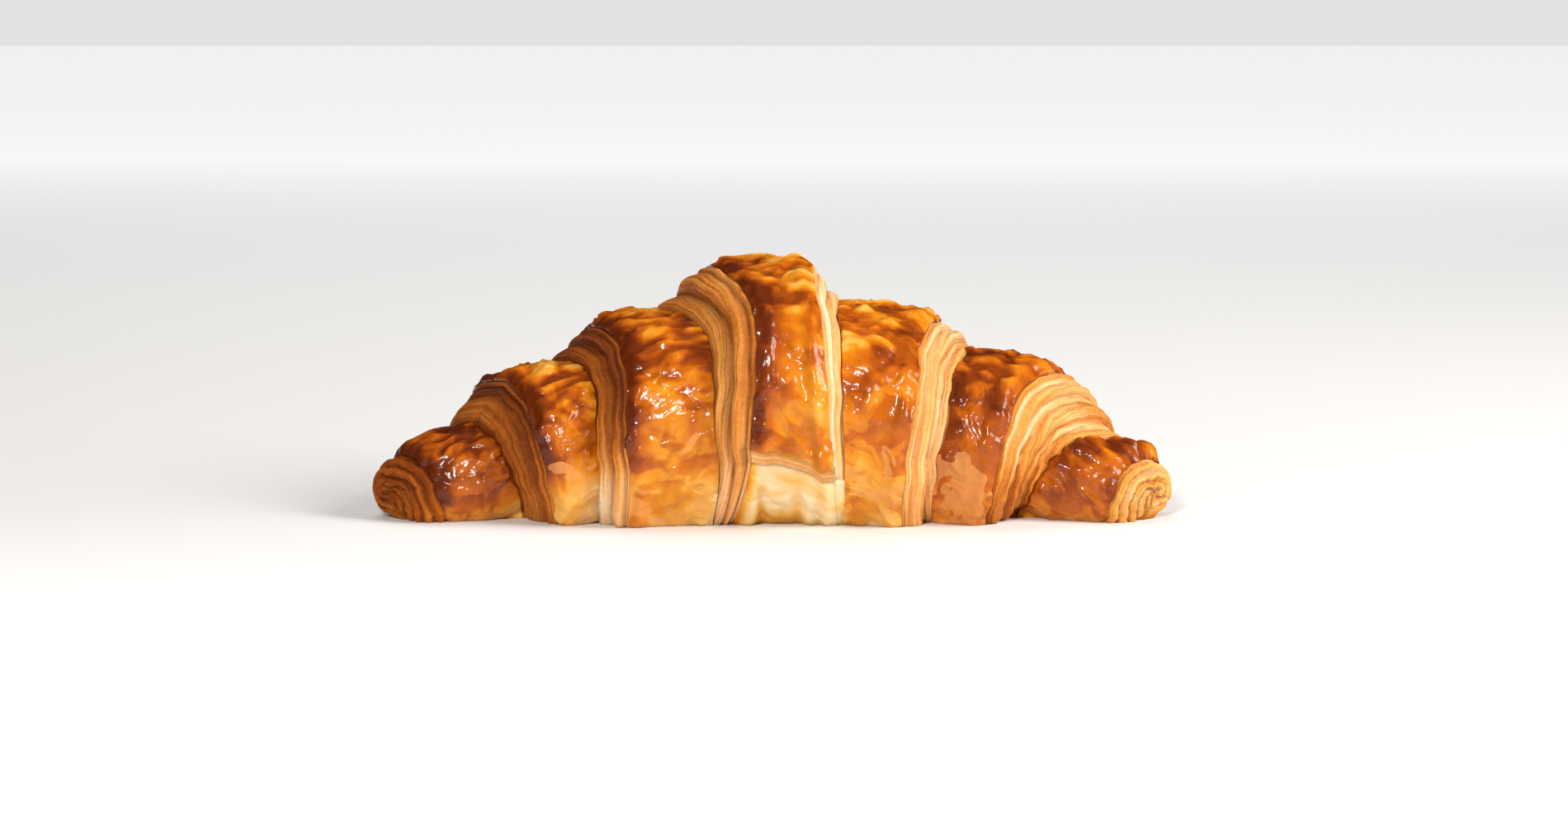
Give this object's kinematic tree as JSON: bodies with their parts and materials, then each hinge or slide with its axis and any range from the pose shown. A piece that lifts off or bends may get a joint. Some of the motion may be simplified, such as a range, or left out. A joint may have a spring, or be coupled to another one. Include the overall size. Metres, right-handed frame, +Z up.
{
  "type": "croissant",
  "caption": "Baked butter croissant: a crescent roll of laminated dough with a tall middle band, stepped glazed wraps, two forward-curving horns and a flat underside to rest on.",
  "frame": {"origin": "on the flat underside, at the middle of the croissant's bounding box", "axes": "+X from the left horn to the right horn along the length, -Y the front with the flap, where the horns curve to, +Z up from the resting surface"},
  "size_m": [0.16, 0.07, 0.052],
  "materials": {
    "crust": "satin"
  },
  "bodies": {
    "root": {"croissant": "crust"}
  },
  "joints": []
}
